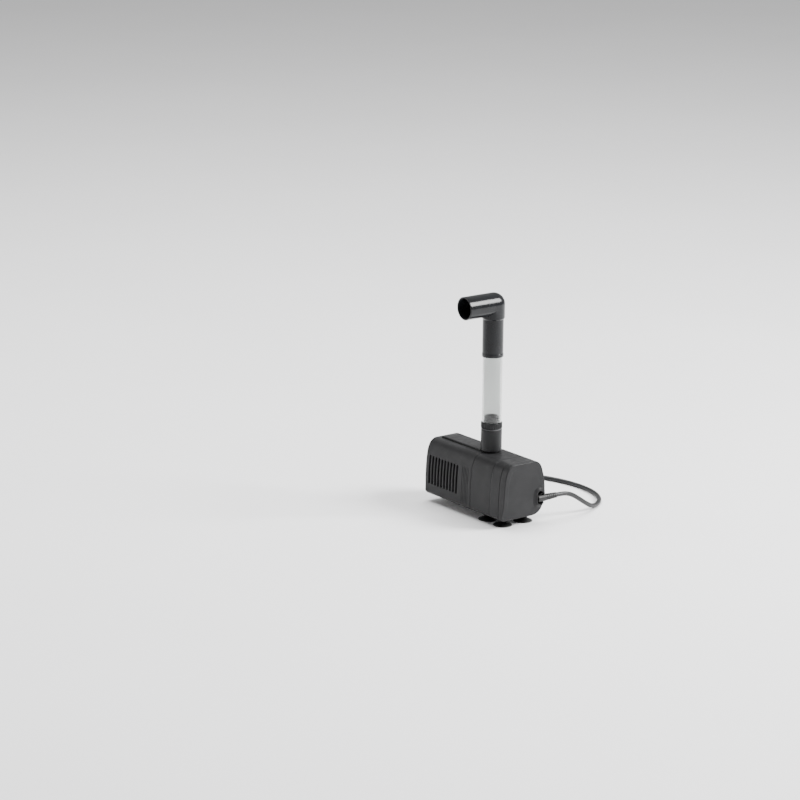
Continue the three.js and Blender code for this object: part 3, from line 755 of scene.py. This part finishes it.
def merged(name, parts):
    """Several separate solids as one object."""
    made = bmesh.new()
    for part in parts:
        made.from_mesh(part.data)
        bpy.data.objects.remove(part)
    mesh = bpy.data.meshes.new(name)
    made.to_mesh(mesh)
    made.free()
    return new_object(name, mesh)


def filter_case():
    """The slotted case with its fluted sides and spine, hollow and open towards the motor head."""
    rear, front = CASE[0].y, CASE[1].y
    first, _ = shell_stations(rear, front)
    stations = [*first, (2, 0), (FLUTES["start"], 0)]
    steps = 8 * FLUTES["count"]
    stations += [(FLUTES["start"] + FLUTES["pitch"] * k / 8, 0) for k in range(1, steps + 1)]
    stations += [(20 + 10 * k, 0) for k in range(6)]
    stations += [(front - y, inset) for inset, y in quarter(CASE_ROUND, 7)]
    stations.sort()
    shell = loft("filter_case_shell", [body_ring(y, inset, flute_dent) for y, inset in stations])
    join(shell, spine())
    cut(
        shell,
        loft("inside", [body_ring(rear - 1, WALL), body_ring(front - WALL, WALL)]),
        cylinder("neck_room", NECK_ROOM, TOP - 6, TOP + 6),
        cylinder("column_room", COLUMN + 0.4, TOP + 0.1, TOP + 6),
        merged("slots", side_slots() + front_slots()),
    )
    finish(shell, "case", "case_plastic", "filter_case")


def foam_cartridge():
    """A soft block that fills the case round its inner pocket, with a slightly uneven surface."""
    rear, front, bore, bore_end = FOAM[0].y, FOAM[1].y, 11.0, 60.0
    inset = WALL + 0.5

    def ring(y, share, radius=0.0):
        """Between the body's outline at share 0 and a circle about the rotor axis at share 1."""
        found = []
        for x, _, z in body_ring(y, inset):
            angle = atan2(z - ROTOR_Z, x)
            found.append((
                x + (radius * cos(angle) - x) * share, y,
                z + (ROTOR_Z + radius * sin(angle) - z) * share,
            ))
        return found

    steps = 36
    rings = [ring(front, 1 - k / 12) for k in range(12)] + [ring(front - 0.4, 0)]
    rings += [ring(front - 0.8 - (front - rear - 1.6) * k / steps, 0) for k in range(steps + 1)]
    rings += [ring(rear, k / 8, bore) for k in range(9)]
    rings += [ring(rear + (bore_end - rear) * k / 24, 1, bore) for k in range(1, 25)]
    rings += [ring(bore_end, 1, bore * (1 - k / 6)) for k in range(1, 7)]
    block = loft("foam_block", rings)
    for vertex in block.data.vertices:
        uneven = noise.noise(vertex.co * 0.55) + 0.6 * noise.noise(vertex.co * 1.7)
        vertex.co -= vertex.normal * (0.22 + 0.22 * uneven)
    finish(block, "case", "foam", "foam_cartridge", sharp=180)


# ---- Feet ----
def suction_cups():
    for k, (x, y) in enumerate(CUP_PLACES, 1):
        outside = bezier([(2.6, 4.4), (2.7, 3.0), (6.2, 2.6), (9.3, 0.75)], 16)
        profile = [
            (0, 8.8), (1.9, 8.8), (2.6, 8.1), (2.6, 6.6), (2.3, 6.2), (2.3, 5.4), (2.6, 5.0), *outside,
            (9.3, 0.75), (9.5, 0.45), (9.5, 0.1), (9.35, 0), (8.8, 0),
            *bezier([(8.7, 0.1), (6, 1.3), (0, 1.9)], 12), (0, 1.9),
        ]
        cup = turned(f"suction_cup_{k}_soft", profile, "Z", (x, y), 72, 0)
        finish(cup, "pump", "rubber", f"suction_cup_{k}")


# ---- Riser ----
def collar_washer():
    low, high = WASHER[0].z, WASHER[1].z
    inner, outer = 8.1, 10.4
    washer = turned(
        "collar_washer_ring", [(inner, low), (outer, low), (outer, high), (inner, high)], segments=120,
        radius=0.25,
    )
    finish(washer, "pump", "seal_rubber", "collar_washer")


def riser_adapter():
    """A grooved spigot for the column, a fluted collar, and a barb inside the clear pipe."""
    low, high = ADAPTER[0].z, ADAPTER[1].z
    collar_low, collar_high, outer = 90.7, 96.6, ADAPTER[1].x

    def fluted(r, height, angle):
        if r < outer - 0.5:
            return r
        upright = smoothstep(collar_low + 0.5, collar_low + 1.1, height)
        upright *= 1 - smoothstep(collar_high - 1.1, collar_high - 0.5, height)
        return r - 0.62 * upright * (0.5 - 0.5 * cos(30 * angle)) ** 0.7

    flutes = [(outer, collar_low + 0.3 + (collar_high - collar_low - 0.6) * k / 10) for k in range(11)]
    barb = [(7.6, 97.2), (7.6, 98.2), (8.05, 98.8), (7.5, 99.8), (7.5, 100.3), (7.95, 100.9), (7.3, 102.2)]
    profile = [
        (COLUMN_BORE, low), (6.9, low), (7.5, low + 1), (7.5, 83.2), (7.1, 83.4), (7.1, 85.2), (7.5, 85.4),
        (7.5, collar_low), (outer - 0.35, collar_low), *flutes, (outer - 0.35, collar_high),
        (7.6, collar_high), *barb, (7.1, high), (COLUMN_BORE, high),
    ]
    adapter = turned("riser_adapter_stem", profile, segments=240, radius=0.12, shape=fluted)
    finish(adapter, "riser", "body_plastic", "riser_adapter", sharp=30)


def riser_tube():
    low, high, outer, inner = TUBE[0].z, TUBE[1].z, TUBE[1].x, 8.3
    stations = [low + (high - low) * k / 12 for k in range(13)]
    profile = [(outer, z) for z in stations] + [(inner, z) for z in reversed(stations)]
    tube = turned("riser_tube_clear", profile, segments=128, radius=0.25)
    finish(tube, "riser", "clear_acrylic", "riser_tube")


def outlet_elbow():
    """A socket leg that fits over the pipe, a rounded corner, and a wide thin-walled spout along -X."""
    low, mouth, spout = ELBOW[0].z, ELBOW[0].x, ELBOW[1].y
    height, leg, bore = ELBOW[1].z - spout, 10.6, 10.2
    stop = 184.5  # where the pipe ends in the leg
    arc = [pi / 2 * k / 14 for k in range(15)]
    corner = [(spout * cos(t), height + spout * sin(t)) for t in arc]
    body = turned("outlet_elbow_shell", [
        (0, low), (leg + 0.25, low), (leg + 0.25, low + 3), (leg, low + 3.4), (leg, height - 15),
        (spout - 0.05, height - 13.6), *corner,
    ], segments=128, radius=0.22)
    pipe = turned("pipe", [
        (0, mouth), (spout - 0.35, mouth), (spout, mouth + 0.35), (spout, 0), (0, 0),
    ], "X", (0, height), 128, 0)
    join(body, pipe)
    cut(
        body,
        turned("bore", [
            (0, mouth - 1), (bore + 0.35, mouth - 1), (bore + 0.35, mouth), (bore, mouth + 0.35),
            (bore, -6), *[(bore * cos(t), -6 + bore * sin(t)) for t in arc[1:-1]],
            (0, bore - 6),
        ], "X", (0, height), 128, 0),
        turned("leg_bore", [
            (0, low - 1), (10.3, low - 1), (10.3, low), (10, low + 0.4), (10, stop), (8.3, stop),
            (8.3, height), (0, height),
        ], segments=128, radius=0),
    )
    finish(body, "spout", "gloss_black", "outlet_elbow", sharp=32)


# ---- Power cord ----
CORD = 4.6  # its diameter
CORD_ROUTE = [
    (42.3, -53, 26), (48, -53, 25.9), (54, -53, 25.3), (60.5, -52.9, 23.4), (67.5, -52.6, 19.8),
    (75, -52, 14.9), (83, -50.8, 9.7), (91, -48.6, 5.4), (99, -45.2, 3), (107, -40.4, 2.35),
    (115, -33.6, 2.3), (122, -24.6, 2.3), (127.6, -13.4, 2.3), (131.2, 0.4, 2.3), (132.4, 16, 2.3),
    (131, 32.4, 2.3), (127.2, 49, 2.3), (121, 64.6, 2.3), (113.4, 79, 2.3), (110.6, 83.4, 2.3),
]
TAIL_ROUTE = [(63.1, 47.4, 12.1), (71, 49.7, 13.4), (76.1, 53.9, 15.6), (79.1, 58.3, 16.5)]
COIL_CENTRE = Vector(((RING[0].x + RING[1].x) / 2, (RING[0].y + RING[1].y) / 2))
TIE_ANGLE, TIE_WIDTH, TIE_THICK = 150, 8, 0.9
OUTER, INNER, TURNS = 34.9, 20.2, 3.2  # radii of the outermost and innermost turn, and turns in a layer


def coil_point(radius, angle, height):
    """A point on the coil. Its turns rise a little over the tie's lower side."""
    from_tie = abs((angle - TIE_ANGLE + 180) % 360 - 180)
    height += TIE_THICK * (1 - smoothstep(13, 30, from_tie))
    turn = radians(angle)
    return (
        COIL_CENTRE.x + radius * cos(turn), COIL_CENTRE.y + radius * sin(turn), height,
    )


def coil_points():
    """Two layers of turns: inwards on the surface, up a diameter, outwards on top, up to the plug."""
    per_turn, low, high = 18, CORD / 2, 1.5 * CORD
    found = [coil_point(37.4, 20, low)]
    steps = round(TURNS * per_turn)
    angle = 35
    for k in range(steps + 1):
        found.append(coil_point(OUTER + (INNER - OUTER) * k / steps, angle + 360 * TURNS * k / steps, low))
    angle += 360 * TURNS
    found += [coil_point(INNER, angle + 20 * k, low + (high - low) * smoothstep(0, 3, k)) for k in (1, 2)]
    angle += 60
    for k in range(steps + 1):
        lift = 5.1 * smoothstep(0.948, 1, k / steps)
        found.append(
            coil_point(INNER + (OUTER - INNER) * k / steps, angle + 360 * TURNS * k / steps, high + lift)
        )
    return found


def through(points, steps=5):
    """A smooth centripetal curve through the points."""
    points = [Vector(p) for p in points]
    points = [2 * points[0] - points[1], *points, 2 * points[-1] - points[-2]]
    found = []
    for a, b, c, d in zip(points, points[1:], points[2:], points[3:]):
        knots = [0.0]
        for p, q in ((a, b), (b, c), (c, d)):
            knots.append(knots[-1] + max((q - p).length, 1e-6) ** 0.5)
        for k in range(steps):
            t = knots[1] + (knots[2] - knots[1]) * k / steps
            ends = list(zip((a, b, c), (b, c, d), knots, knots[1:]))
            first = [p.lerp(q, (t - s) / (e - s)) for p, q, s, e in ends]
            second = [
                first[i].lerp(first[i + 1], (t - knots[i]) / (knots[i + 2] - knots[i])) for i in (0, 1)
            ]
            found.append(second[0].lerp(second[1], (t - knots[1]) / (knots[2] - knots[1])))
    return [*found, points[-2]]


def power_cord():
    line = through([*CORD_ROUTE, *coil_points(), *TAIL_ROUTE])
    curve = bpy.data.curves.new("power_cord_sheath", "CURVE")
    curve.dimensions = "3D"
    spline = curve.splines.new("POLY")
    spline.points.add(len(line) - 1)
    for point, where in zip(spline.points, line):
        point.co = (*place(*where), 1)
    curve.bevel_depth, curve.bevel_resolution = CORD / 2 * MM, 6
    curve.use_fill_caps = True
    cord = new_object("power_cord_sheath", curve)
    curve.materials.append(MATERIALS["cord_pvc"])
    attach(cord, "pump")
    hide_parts("power_cord", "cord_coil", "cord_tail")
    return cord


def strain_relief():
    """A moulded root in the gland, and a ribbed tail that tapers along +X."""
    start, end = 17.2, 42
    ribs = []
    for k in range(5):
        x = 28 + 2.5 * k
        r = 3.6 - 0.8 * (x - 27) / (end - 27)
        ribs += [(r, x), (r - 0.55, x + 0.25), (r - 0.55, x + 0.95), (r - 0.1, x + 1.2)]
    profile = [
        (0, start), (3.6, start), (3.9, start + 0.4), (3.9, 24.6), (3.6, 26.2), *ribs, (2.8, 40.6),
        (2.75, end), (0, end),
    ]
    tail = turned("strain_relief_boot", profile, "X", (RELIEF.x, RELIEF.y), 64, 0.15)
    join(tail, cylinder("stub", 2.6, RELIEF.x, -43, "Y", (GLAND.x, RELIEF.y), 40))
    return finish(tail, "pump", "rubber", "strain_relief")


def cord_tie():
    """A strap round the bundle, closed by its own overlapping end."""
    inner_r, outer_r = 17.8, 37.4
    high = RING[1].z + 2 * TIE_THICK - 0.1
    half_r, half_z = (outer_r - inner_r) / 2 + TIE_THICK, high / 2
    middle_r, middle_z = (outer_r + inner_r) / 2, high / 2
    turn = radians(TIE_ANGLE)
    across, along = Vector((cos(turn), sin(turn), 0)), Vector((-sin(turn), cos(turn), 0))
    centre = Vector((COIL_CENTRE.x, COIL_CENTRE.y, 0))
    section = rounded_outline(half_r, half_z, 3.2, 0, 8, 0)
    rings = []
    for k, point in enumerate(section):
        step = section[(k + 1) % len(section)] - section[k - 1]
        out = Vector((step.y, -step.x)).normalized()
        ring = []
        for depth, width in (
            (0, -0.9), (0, 0.9), (0.25, 1), (0.65, 1), (0.9, 0.9), (0.9, -0.9), (0.65, -1), (0.25, -1),
        ):
            p = point - out * depth
            where = centre + across * (middle_r + p.x) + along * (width * TIE_WIDTH / 2)
            ring.append(where + Vector((0, 0, middle_z + p.y)))
        rings.append(ring)
    strap = loft("cord_tie_strap", rings, closed=True)
    flap = []
    for k in range(17):
        r = middle_r - 5 + 12 * k / 16
        width = TIE_WIDTH / 2 - 0.2 - 2.5 * smoothstep(0.8, 1, k / 16)
        ring = []
        for rise, share in ((0, -1), (0, 1), (0.5, 1), (0.75, 0.9), (0.75, -0.9), (0.5, -1)):
            where = centre + across * r + along * (width * share)
            ring.append(where + Vector((0, 0, high + rise - 0.15)))
        flap.append(ring)
    join(strap, loft("flap", flap))
    return finish(strap, "pump", "tie_fabric", "cord_tie")


# ---- Plug ----
PLUG_LENGTH, PLUG_HALF_WIDTH, PLUG_HALF_THICK = 34.0, 13.0, 6.85
PIN_SPACING, PIN_LENGTH, PIN_RADIUS = 19.0, 19.0, 2.0
PLUG_ENTRY, PLUG_TURN = (79.5, 58.9, RING[1].z + 0.3 + PLUG_HALF_THICK), radians(-31)
PLUG_PLACE = Matrix.Translation(PLUG_ENTRY) @ Matrix.Rotation(PLUG_TURN, 4, "Z")


def plug_body():
    """A flat moulded plug: a narrow neck, waisted grips with ridges, and a broad pin end."""
    rings, steps = [], 68
    for k in range(steps + 1):
        y = PLUG_LENGTH * k / steps
        width = 3.6 + (PLUG_HALF_WIDTH - 3.6) * smoothstep(2, 17, y)
        width -= 1.1 * sin(pi * smoothstep(14, 30, y))
        thick = 3.3 + (PLUG_HALF_THICK - 3.3) * smoothstep(1, 13, y)
        ridge = (0.5 - 0.5 * cos(2 * pi * (y - 15) / 2.5)) if 15 < y < 27.5 else 0
        width -= 0.45 * ridge
        end = min(y, PLUG_LENGTH - y)
        shrink = 1.1 * (1 - sqrt(max(0.0, 1 - (1 - min(1.0, end / 1.1)) ** 2)))
        ring = []
        for step in range(64):
            turn = 2 * pi * step / 64
            c, s = cos(turn), sin(turn)
            power = 2 / (2 + 2.4 * smoothstep(2, 12, y))
            ring.append((
                (width - shrink) * copysign(abs(c) ** power, c), y,
                (thick - shrink) * copysign(abs(s) ** power, s),
            ))
        rings.append(ring)
    body = loft("plug_body_moulded", rings)
    for side in (-1, 1):
        recess = []
        for depth, grow in ((-1, 0.35), (0, 0.35), (0.12, 0.1), (0.4, 0)):
            z = side * (PLUG_HALF_THICK - depth)
            recess.append([(p.x, 21 + p.y, z) for p in rounded_outline(6.5, 6, 2.5, grow)])
        cut(body, loft("recess", recess))
    body.data.transform(PLUG_PLACE)
    return finish(body, "pump", "cord_pvc", "plug_body")


def plug_pins():
    found = []
    start, sleeve = PLUG_LENGTH + 0.3, PLUG_LENGTH + 10
    tip = start + PIN_LENGTH
    for k, side in enumerate((-1, 1), 1):
        centre = (side * PIN_SPACING / 2, 0)
        pin = turned(f"plug_pin_{k}_metal", [
            (0, start), (1.6, start), (1.6, sleeve + 0.05), (PIN_RADIUS, sleeve + 0.2),
            (PIN_RADIUS, tip - 1.3), (1.2, tip - 0.2), (0, tip),
        ], "Y", centre, 48, 0.3)
        cover = turned(f"plug_pin_{k}_sleeve", [
            (1.65, start - 0.2), (PIN_RADIUS - 0.05, start - 0.2), (PIN_RADIUS - 0.05, sleeve),
            (1.65, sleeve),
        ], "Y", centre, 48, 0.1)
        for piece in (pin, cover):
            piece.data.transform(PLUG_PLACE)
        finish(pin, "pump", "nickel", f"plug_pin_{k}")
        finish(cover, "pump", "cord_pvc")
        found += [pin, cover]
    return found


# ---- Rotor, shaft and seals ----
def rotor():
    """The magnet, and the impeller with six straight blades, on a fixed ceramic shaft in two bushes."""
    bore, hub, disc = 1.65, 4.2, (-7.4, -6.2)
    magnet, wheel, shaft = span("rotor_magnet"), span("impeller"), span("rotor_shaft")
    outer, axle = magnet[1].x, (shaft[1].x - shaft[0].x) / 2
    middle = (magnet[0].y + magnet[1].y) / 2
    magnet_profile = [
        (bore, magnet[0].y), (outer - 1.6, magnet[0].y), (outer - 1.2, magnet[0].y + 0.5),
        (outer, magnet[0].y + 0.5), (outer, middle - 0.4), (outer - 0.25, middle), (outer, middle + 0.4),
        (outer, magnet[1].y), (bore, magnet[1].y),
    ]
    body = turned("rotor_magnet_cylinder", magnet_profile, **ON_ROTOR, segments=72, radius=0.4)
    finish(body, "rotor", "ferrite", "rotor_magnet")
    reach = wheel[1].z - ROTOR_Z
    vanes = turned("impeller_vanes", [
        (bore, wheel[0].y), (hub, wheel[0].y), (hub, disc[0]), (reach, disc[0]), (reach, disc[1]),
        (hub, disc[1]), (hub, wheel[1].y), (bore, wheel[1].y),
    ], **ON_ROTOR)
    front = wheel[1].y - 0.8
    side = soften([
        (hub - 0.6, disc[1] - 0.5), (reach - 0.4, disc[1] - 0.5), (reach - 0.4, front - 1.8),
        (reach - 2, front), (hub - 0.6, front),
    ], 0.5, True)
    for k in range(6):
        c, s = cos(pi / 3 * k), sin(pi / 3 * k)
        join(vanes, loft("vane", [
            [(r * c - t * s, y, ROTOR_Z + r * s + t * c) for r, y in side] for t in (-0.55, 0.55)
        ]))
    finish(vanes, "rotor", "inner_plastic", "impeller")
    rod = turned("rotor_shaft_rod", [
        (0, shaft[0].y), (axle, shaft[0].y), (axle, shaft[1].y), (0, shaft[1].y),
    ], **ON_ROTOR, segments=48, radius=0.35)
    finish(rod, "pump", "ceramic", "rotor_shaft")


def bushes_and_seal():
    for node, lip in (("rear_bush", 0.7), ("front_bush", 0.3)):
        low, high = span(node)
        outer, inner = (high.x - low.x) / 2, 1.36
        bush = turned(f"{node}_ring", [
            (inner, low.y), (outer, low.y), (outer, low.y + lip), (outer - 0.3, low.y + lip + 0.2),
            (outer - 0.3, high.y - lip - 0.2), (outer, high.y - lip), (outer, high.y), (inner, high.y),
        ], **ON_ROTOR, segments=64, radius=0.2)
        finish(bush, "pump", "rubber", node)
    low, high = span("head_seal")
    section, outer = (high.y - low.y) / 2, (high.z - low.z) / 2
    circle = [
        (outer - section * (1 - cos(t)), low.y + section * (1 + sin(t)))
        for t in (pi * k / 10 for k in range(20))
    ]
    ring = turned("head_seal_ring", circle, **ON_ROTOR, segments=128, radius=0)
    finish(ring, "pump", "rubber", "head_seal")


# ---- Inner pieces, which keep their CAD shapes ----
def inner_finishes():
    slots = {
        "potting_resin": "resin", "coil_bobbin": "bobbin_nylon", "stator_core": "core_steel",
        "stator_coil": "copper",
    }
    for node, slot in slots.items():
        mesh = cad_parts[node].data
        mesh.materials.clear()
        mesh.materials.append(MATERIALS[slot])


# ---- Camera, light and floor ----
YAW, PITCH, ROLL = radians(36.589), radians(15.035), radians(0.464)
LOOKED_AT, FROM = place(-53.6, 82.1, 109.2), 3.2
FLOOR_RADIUS, FLOOR_LOW, FLOOR_TOP = 20000, -40.0, -0.05  # its top is just clear of the cups' rims


def camera():
    """The photograph's camera, solved from the straight edges in it."""
    data = bpy.data.cameras.new("camera")
    data.sensor_width, data.lens = 36, 142.37
    eye = new_object("camera", data)
    turn = Matrix.Rotation(-YAW, 4, "Z") @ Matrix.Rotation(pi / 2 - PITCH, 4, "X")
    turn = turn @ Matrix.Rotation(ROLL, 4, "Z")
    eye.matrix_world = Matrix.Translation(LOOKED_AT) @ turn @ Matrix.Translation((0, 0, FROM))
    data.clip_start, data.clip_end = 0.1, 60
    bpy.context.scene.camera = eye


def area_light(name, where, size, power, aim=(0, 0, 0.08)):
    data = bpy.data.lights.new(name, "AREA")
    data.shape, data.size, data.size_y, data.energy = "RECTANGLE", size[0], size[1], power
    lamp = new_object(name, data)
    lamp.location = where
    lamp.rotation_euler = (Vector(aim) - Vector(where)).to_track_quat("-Z", "Y").to_euler()


def studio():
    """Three soft lights, a pale world that is brighter on the right, and a pale floor."""
    area_light("key", (1.25, -1.25, 1.4), (0.85, 0.95), 135)
    area_light("overhead", (0.0, 0.5, 2.4), (2.2, 1.6), 110)
    area_light("left", (-1.5, 1.5, 0.7), (0.5, 1.2), 12)
    world = bpy.data.worlds.new("studio")
    world.use_nodes = True
    nodes, links = world.node_tree.nodes, world.node_tree.links
    set_inputs(nodes["Background"], Color=(1, 1, 1, 1))
    parts, range_node = nodes.new("ShaderNodeSeparateXYZ"), nodes.new("ShaderNodeMapRange")
    set_inputs(range_node, From_Min=-1, From_Max=1, To_Min=0.15, To_Max=0.8)
    links.new(nodes.new("ShaderNodeTexCoord").outputs["Generated"], parts.inputs[0])
    links.new(parts.outputs["X"], range_node.inputs["Value"])
    links.new(range_node.outputs["Result"], nodes["Background"].inputs["Strength"])
    bpy.context.scene.world = world
    made = Finish("pale_floor", (0.82, 0.82, 0.825), 0.55)
    made.tint(made.noise(300, 3), 0.99, 1.01)
    made.bump(made.noise(4, 3), 0.02, 0.3)
    floor = loft("floor", [
        [(FLOOR_RADIUS * cos(pi * k / 32), FLOOR_RADIUS * sin(pi * k / 32), z)
         for k in range(64)]
        for z in (FLOOR_LOW, FLOOR_TOP)
    ])
    floor.data.transform(TO_FRAME)
    floor.data.materials.append(made.material)


# ---- Assembly ----
camera()
studio()
cord = power_cord()
boot = strain_relief()
tie = cord_tie()
plug = plug_body()
pins = plug_pins()
for build in (
    motor_housing, end_cap, pump_head, impeller_cover, flow_dial, filter_case, foam_cartridge,
    suction_cups, collar_washer, riser_adapter, riser_tube, outlet_elbow, rotor, bushes_and_seal,
    inner_finishes,
):
    build()
